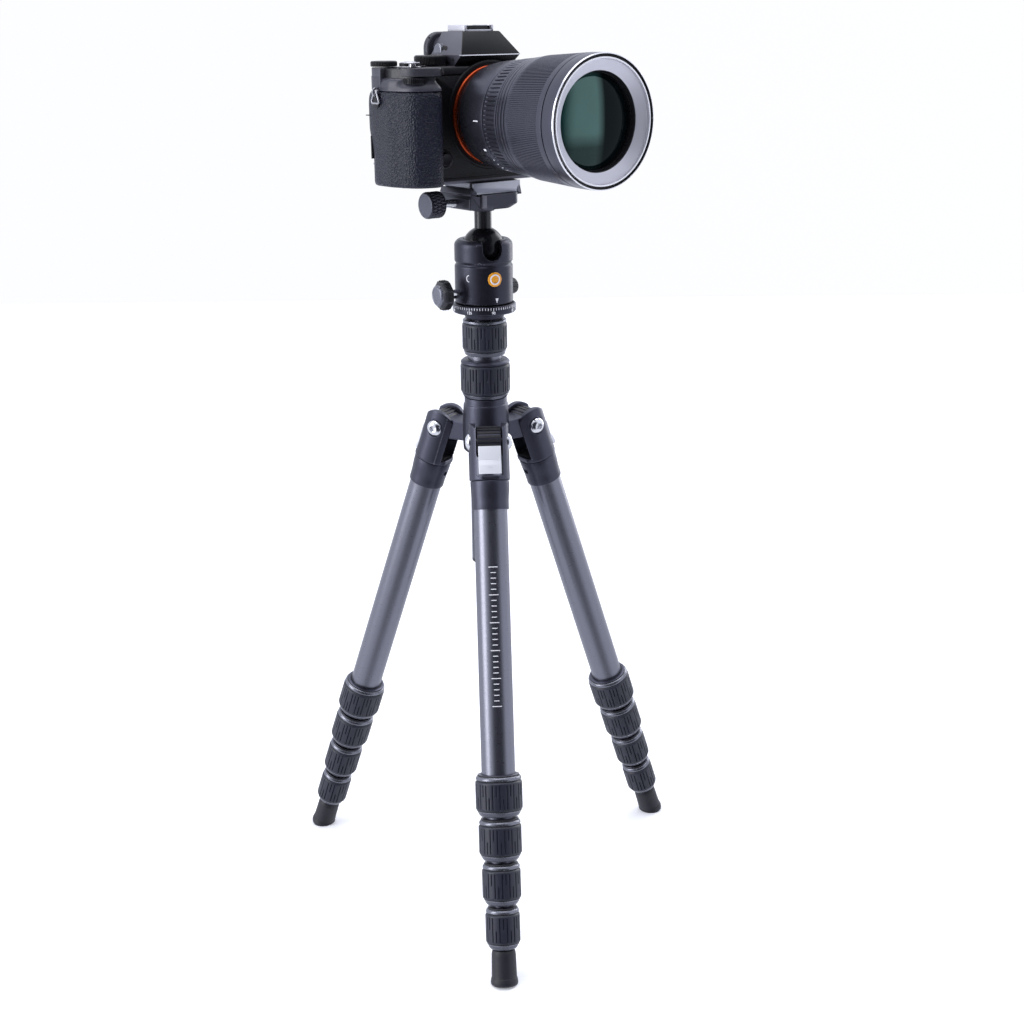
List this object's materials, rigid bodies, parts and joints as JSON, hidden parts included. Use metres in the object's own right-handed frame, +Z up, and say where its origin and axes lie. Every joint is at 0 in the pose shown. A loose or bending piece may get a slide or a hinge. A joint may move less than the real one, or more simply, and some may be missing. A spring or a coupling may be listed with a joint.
{
  "type": "camera on tripod",
  "caption": "Mirrorless camera with a large lens on a ball head, standing on a travel tripod with three folded twist-lock legs.",
  "frame": {"origin": "on the floor, on the axis of the centre column", "axes": "+Z up along the centre column; the lens looks along -Y; +X is to the right when facing the lens"},
  "size_m": [0.2493, 0.2733, 0.5924],
  "materials": {
    "leg_casting": "satin powder coat",
    "tab_steel": "brushed",
    "lock_rubber": "moulded ribs, matt",
    "lock_ring": "satin anodised",
    "anodised_tube": "satin anodised",
    "foot_rubber": "matt",
    "bolt_steel": "polished",
    "hook_plastic": "matt",
    "head_metal": "fine satin powder coat",
    "ball_metal": "polished hard anodised",
    "clamp_metal": "anodised",
    "knob_metal": "knurled, anodised",
    "knob_rubber": "dotted",
    "plate_metal": "satin anodised",
    "camera_shell": "fine crackle coat",
    "grip_rubber": "pebbled",
    "dial_metal": "knurled, anodised",
    "button_metal": "spun",
    "screen": "glossy",
    "mount_ring": "copper-orange anodised",
    "lens_metal": "satin anodised",
    "rim_silver": "polished",
    "lens_glass": "coated",
    "badge": "enamel",
    "marking": "printed"
  },
  "bodies": {
    "spider": {"spider": "leg_casting", "pivot_bolts": "bolt_steel"},
    "leg_1_upper": {"leg_1_upper": "leg_casting"},
    "leg_1_angle_tab": {"leg_1_angle_tab": "tab_steel"},
    "leg_1_lock_1": {"leg_1_lock_1": "lock_rubber"},
    "leg_1_lock_2": {"leg_1_lock_2": "lock_rubber"},
    "leg_1_lock_3": {"leg_1_lock_3": "lock_rubber"},
    "leg_1_lock_4": {"leg_1_lock_4": "lock_rubber"},
    "leg_1_section_2": {"leg_1_section_2": "anodised_tube"},
    "leg_1_section_3": {"leg_1_section_3": "anodised_tube"},
    "leg_1_section_4": {"leg_1_section_4": "anodised_tube"},
    "leg_1_section_5": {"leg_1_section_5": "foot_rubber"},
    "leg_2_upper": {"leg_2_upper": "leg_casting"},
    "leg_2_angle_tab": {"leg_2_angle_tab": "tab_steel"},
    "leg_2_lock_1": {"leg_2_lock_1": "lock_rubber"},
    "leg_2_lock_2": {"leg_2_lock_2": "lock_rubber"},
    "leg_2_lock_3": {"leg_2_lock_3": "lock_rubber"},
    "leg_2_lock_4": {"leg_2_lock_4": "lock_rubber"},
    "leg_2_section_2": {"leg_2_section_2": "anodised_tube"},
    "leg_2_section_3": {"leg_2_section_3": "anodised_tube"},
    "leg_2_section_4": {"leg_2_section_4": "anodised_tube"},
    "leg_2_section_5": {"leg_2_section_5": "foot_rubber"},
    "leg_3_upper": {"leg_3_upper": "leg_casting"},
    "leg_3_angle_tab": {"leg_3_angle_tab": "tab_steel"},
    "leg_3_lock_1": {"leg_3_lock_1": "lock_rubber"},
    "leg_3_lock_2": {"leg_3_lock_2": "lock_rubber"},
    "leg_3_lock_3": {"leg_3_lock_3": "lock_rubber"},
    "leg_3_lock_4": {"leg_3_lock_4": "lock_rubber"},
    "leg_3_section_2": {"leg_3_section_2": "anodised_tube"},
    "leg_3_section_3": {"leg_3_section_3": "anodised_tube"},
    "leg_3_section_4": {"leg_3_section_4": "anodised_tube"},
    "leg_3_section_5": {"leg_3_section_5": "foot_rubber"},
    "column_lower_lock": {"column_lower_lock": "lock_rubber"},
    "column_outer_tube": {"column_outer_tube": "anodised_tube"},
    "column_upper_lock": {"column_upper_lock": "lock_rubber"},
    "column_inner_tube": {"column_inner_tube": "anodised_tube", "pan_base": "head_metal"},
    "bag_hook": {"bag_hook": "hook_plastic"},
    "head_housing": {"head_housing": "head_metal"},
    "ball": {"ball": "ball_metal"},
    "ball_stem": {"ball_stem": "ball_metal"},
    "clamp_body": {"clamp_body": "clamp_metal"},
    "clamp_jaw": {"clamp_jaw": "clamp_metal"},
    "clamp_knob": {"clamp_knob": "knob_metal"},
    "ball_lock_knob": {"ball_lock_knob": "knob_rubber"},
    "pan_lock_knob": {"pan_lock_knob": "knob_rubber"},
    "mode_dial": {"mode_dial": "dial_metal"},
    "exposure_dial": {"exposure_dial": "dial_metal"},
    "shutter_button": {"shutter_button": "button_metal"},
    "rear_screen": {"rear_screen": "screen"},
    "control_wheel": {"control_wheel": "dial_metal"},
    "aperture_ring": {"aperture_ring": "lens_metal"},
    "focus_ring": {"focus_ring": "lens_metal"},
    "camera": {"quick_plate": "plate_metal", "camera_body": "camera_shell", "top_cover": "camera_shell", "hand_grip": "grip_rubber", "lens_mount": "mount_ring", "lens_barrel": "lens_metal", "lens_elements": "lens_glass"}
  },
  "joints": [
    {"name": "leg_1_spread", "type": "hinge", "parent": "spider", "child": "leg_1_upper", "pos_m": [-0.01858, -0.02703, 0.3323], "axis": [-0.8241, 0.5664, 0], "range_deg": [-19.2, 60]},
    {"name": "leg_2_spread", "type": "hinge", "parent": "spider", "child": "leg_2_upper", "pos_m": [0.0327, -0.00257, 0.3323], "axis": [-0.0785, -0.9969, 0], "range_deg": [-19.2, 60]},
    {"name": "leg_3_spread", "type": "hinge", "parent": "spider", "child": "leg_3_upper", "pos_m": [-0.01412, 0.0296, 0.3323], "axis": [0.9026, 0.4305, 0], "range_deg": [-19.2, 60]},
    {"name": "outer_column_raise", "type": "slide", "parent": "spider", "child": "column_outer_tube", "axis": [0, 0, 1], "range_m": [0, 0.075]},
    {"name": "inner_column_raise", "type": "slide", "parent": "column_outer_tube", "child": "column_inner_tube", "axis": [0, 0, 1], "range_m": [0, 0.1]},
    {"name": "head_pan", "type": "hinge", "parent": "column_inner_tube", "child": "head_housing", "pos_m": [0, 0, 0.42], "axis": [0, 0, 1], "continuous": true},
    {"name": "ball_swing", "type": "hinge", "parent": "head_housing", "child": "ball", "pos_m": [0, 0, 0.4543], "axis": [0, 0, 1], "range_deg": [-180, 0]},
    {"name": "ball_tilt", "type": "hinge", "parent": "ball", "child": "ball_stem", "pos_m": [0, 0, 0.4543], "axis": [0.9511, -0.309, 0], "range_deg": [-38, 82]},
    {"name": "ball_spin", "type": "hinge", "parent": "ball_stem", "child": "clamp_body", "pos_m": [0, 0, 0.4543], "axis": [0, 0, 1], "continuous": true},
    {"name": "plate_slide", "type": "slide", "parent": "clamp_body", "child": "camera", "axis": [0, -1, 0], "range_m": [-0.01, 0.01]},
    {"name": "clamp_knob_turn", "type": "hinge", "parent": "clamp_body", "child": "clamp_knob", "pos_m": [0, 0, 0.4845], "axis": [-1, 0, 0], "range_deg": [0, 720]},
    {"name": "clamp_jaw_open", "type": "slide", "parent": "clamp_body", "child": "clamp_jaw", "axis": [-1, 0, 0], "range_m": [0, 0.0015]},
    {"name": "ball_lock_turn", "type": "hinge", "parent": "head_housing", "child": "ball_lock_knob", "pos_m": [0, 0, 0.4258], "axis": [-0.9925, 0.1219, 0], "range_deg": [0, 180]},
    {"name": "pan_lock_turn", "type": "hinge", "parent": "head_housing", "child": "pan_lock_knob", "pos_m": [0, 0, 0.4258], "axis": [0.9848, 0.1736, 0], "range_deg": [0, 180]},
    {"name": "focus_turn", "type": "hinge", "parent": "camera", "child": "focus_ring", "pos_m": [0, -0.1, 0.5384], "axis": [0, -1, 0], "range_deg": [-60, 60]},
    {"name": "aperture_turn", "type": "hinge", "parent": "camera", "child": "aperture_ring", "pos_m": [0, -0.1, 0.5384], "axis": [0, -1, 0], "range_deg": [-30, 30]},
    {"name": "screen_tilt", "type": "hinge", "parent": "camera", "child": "rear_screen", "pos_m": [0, 0.0216, 0.558], "axis": [1, 0, 0], "range_deg": [0, 90]},
    {"name": "mode_dial_turn", "type": "hinge", "parent": "camera", "child": "mode_dial", "pos_m": [-0.033, 0.008, 0.565], "axis": [0, 0, 1], "continuous": true},
    {"name": "exposure_dial_turn", "type": "hinge", "parent": "camera", "child": "exposure_dial", "pos_m": [-0.063, 0.0146, 0.57], "axis": [0, 0, 1], "range_deg": [-120, 120]},
    {"name": "shutter_press", "type": "slide", "parent": "camera", "child": "shutter_button", "axis": [0, 0, -1], "range_m": [0, 0.001], "stiffness_N_per_m": 300},
    {"name": "control_wheel_turn", "type": "hinge", "parent": "camera", "child": "control_wheel", "pos_m": [-0.043, 0.02, 0.5184], "axis": [0, 1, 0], "continuous": true},
    {"name": "bag_hook_turn", "type": "hinge", "parent": "column_outer_tube", "child": "bag_hook", "pos_m": [0, 0, 0.24], "axis": [0, 0, 1], "continuous": true},
    {"name": "leg_1_extend_2", "type": "slide", "parent": "leg_1_upper", "child": "leg_1_section_2", "axis": [-0.1863, -0.271, -0.9444], "range_m": [0, 0.145]},
    {"name": "leg_1_extend_3", "type": "slide", "parent": "leg_1_section_2", "child": "leg_1_section_3", "axis": [-0.1863, -0.271, -0.9444], "range_m": [0, 0.145]},
    {"name": "leg_1_extend_4", "type": "slide", "parent": "leg_1_section_3", "child": "leg_1_section_4", "axis": [-0.1863, -0.271, -0.9444], "range_m": [0, 0.145]},
    {"name": "leg_1_extend_5", "type": "slide", "parent": "leg_1_section_4", "child": "leg_1_section_5", "axis": [-0.1863, -0.271, -0.9444], "range_m": [0, 0.145]},
    {"name": "leg_1_tab_pull", "type": "slide", "parent": "leg_1_upper", "child": "leg_1_angle_tab", "axis": [-0.5349, -0.7783, 0.3289], "range_m": [0, 0.004], "stiffness_N_per_m": 400},
    {"name": "leg_1_lock_1_twist", "type": "hinge", "parent": "leg_1_upper", "child": "leg_1_lock_1", "pos_m": [-0.01858, -0.02703, 0.3323], "axis": [-0.1863, -0.271, -0.9444], "range_deg": [0, 100]},
    {"name": "leg_1_lock_2_twist", "type": "hinge", "parent": "leg_1_section_2", "child": "leg_1_lock_2", "pos_m": [-0.01858, -0.02703, 0.3323], "axis": [-0.1863, -0.271, -0.9444], "range_deg": [0, 100]},
    {"name": "leg_1_lock_3_twist", "type": "hinge", "parent": "leg_1_section_3", "child": "leg_1_lock_3", "pos_m": [-0.01858, -0.02703, 0.3323], "axis": [-0.1863, -0.271, -0.9444], "range_deg": [0, 100]},
    {"name": "leg_1_lock_4_twist", "type": "hinge", "parent": "leg_1_section_4", "child": "leg_1_lock_4", "pos_m": [-0.01858, -0.02703, 0.3323], "axis": [-0.1863, -0.271, -0.9444], "range_deg": [0, 100]},
    {"name": "lower_lock_twist", "type": "hinge", "parent": "spider", "child": "column_lower_lock", "pos_m": [0, 0, 0.37], "axis": [0, 0, 1], "range_deg": [0, 100]},
    {"name": "upper_lock_twist", "type": "hinge", "parent": "column_outer_tube", "child": "column_upper_lock", "pos_m": [0, 0, 0.39], "axis": [0, 0, 1], "range_deg": [0, 100]},
    {"name": "leg_2_extend_2", "type": "slide", "parent": "leg_2_upper", "child": "leg_2_section_2", "axis": [0.3279, -0.0258, -0.9444], "range_m": [0, 0.145]},
    {"name": "leg_2_extend_3", "type": "slide", "parent": "leg_2_section_2", "child": "leg_2_section_3", "axis": [0.3279, -0.0258, -0.9444], "range_m": [0, 0.145]},
    {"name": "leg_2_extend_4", "type": "slide", "parent": "leg_2_section_3", "child": "leg_2_section_4", "axis": [0.3279, -0.0258, -0.9444], "range_m": [0, 0.145]},
    {"name": "leg_2_extend_5", "type": "slide", "parent": "leg_2_section_4", "child": "leg_2_section_5", "axis": [0.3279, -0.0258, -0.9444], "range_m": [0, 0.145]},
    {"name": "leg_2_tab_pull", "type": "slide", "parent": "leg_2_upper", "child": "leg_2_angle_tab", "axis": [0.9415, -0.0741, 0.3289], "range_m": [0, 0.004], "stiffness_N_per_m": 400},
    {"name": "leg_2_lock_1_twist", "type": "hinge", "parent": "leg_2_upper", "child": "leg_2_lock_1", "pos_m": [0.0327, -0.00257, 0.3323], "axis": [0.3279, -0.0258, -0.9444], "range_deg": [0, 100]},
    {"name": "leg_2_lock_2_twist", "type": "hinge", "parent": "leg_2_section_2", "child": "leg_2_lock_2", "pos_m": [0.0327, -0.00257, 0.3323], "axis": [0.3279, -0.0258, -0.9444], "range_deg": [0, 100]},
    {"name": "leg_2_lock_3_twist", "type": "hinge", "parent": "leg_2_section_3", "child": "leg_2_lock_3", "pos_m": [0.0327, -0.00257, 0.3323], "axis": [0.3279, -0.0258, -0.9444], "range_deg": [0, 100]},
    {"name": "leg_2_lock_4_twist", "type": "hinge", "parent": "leg_2_section_4", "child": "leg_2_lock_4", "pos_m": [0.0327, -0.00257, 0.3323], "axis": [0.3279, -0.0258, -0.9444], "range_deg": [0, 100]},
    {"name": "leg_3_extend_2", "type": "slide", "parent": "leg_3_upper", "child": "leg_3_section_2", "axis": [-0.1416, 0.2968, -0.9444], "range_m": [0, 0.145]},
    {"name": "leg_3_extend_3", "type": "slide", "parent": "leg_3_section_2", "child": "leg_3_section_3", "axis": [-0.1416, 0.2968, -0.9444], "range_m": [0, 0.145]},
    {"name": "leg_3_extend_4", "type": "slide", "parent": "leg_3_section_3", "child": "leg_3_section_4", "axis": [-0.1416, 0.2968, -0.9444], "range_m": [0, 0.145]},
    {"name": "leg_3_extend_5", "type": "slide", "parent": "leg_3_section_4", "child": "leg_3_section_5", "axis": [-0.1416, 0.2968, -0.9444], "range_m": [0, 0.145]},
    {"name": "leg_3_tab_pull", "type": "slide", "parent": "leg_3_upper", "child": "leg_3_angle_tab", "axis": [-0.4066, 0.8524, 0.3289], "range_m": [0, 0.004], "stiffness_N_per_m": 400},
    {"name": "leg_3_lock_1_twist", "type": "hinge", "parent": "leg_3_upper", "child": "leg_3_lock_1", "pos_m": [-0.01412, 0.0296, 0.3323], "axis": [-0.1416, 0.2968, -0.9444], "range_deg": [0, 100]},
    {"name": "leg_3_lock_2_twist", "type": "hinge", "parent": "leg_3_section_2", "child": "leg_3_lock_2", "pos_m": [-0.01412, 0.0296, 0.3323], "axis": [-0.1416, 0.2968, -0.9444], "range_deg": [0, 100]},
    {"name": "leg_3_lock_3_twist", "type": "hinge", "parent": "leg_3_section_3", "child": "leg_3_lock_3", "pos_m": [-0.01412, 0.0296, 0.3323], "axis": [-0.1416, 0.2968, -0.9444], "range_deg": [0, 100]},
    {"name": "leg_3_lock_4_twist", "type": "hinge", "parent": "leg_3_section_4", "child": "leg_3_lock_4", "pos_m": [-0.01412, 0.0296, 0.3323], "axis": [-0.1416, 0.2968, -0.9444], "range_deg": [0, 100]}
  ],
  "couplings": [
    {"joint": "clamp_knob_turn", "follows": "clamp_jaw_open", "rad_per_m": 8377.5}
  ]
}
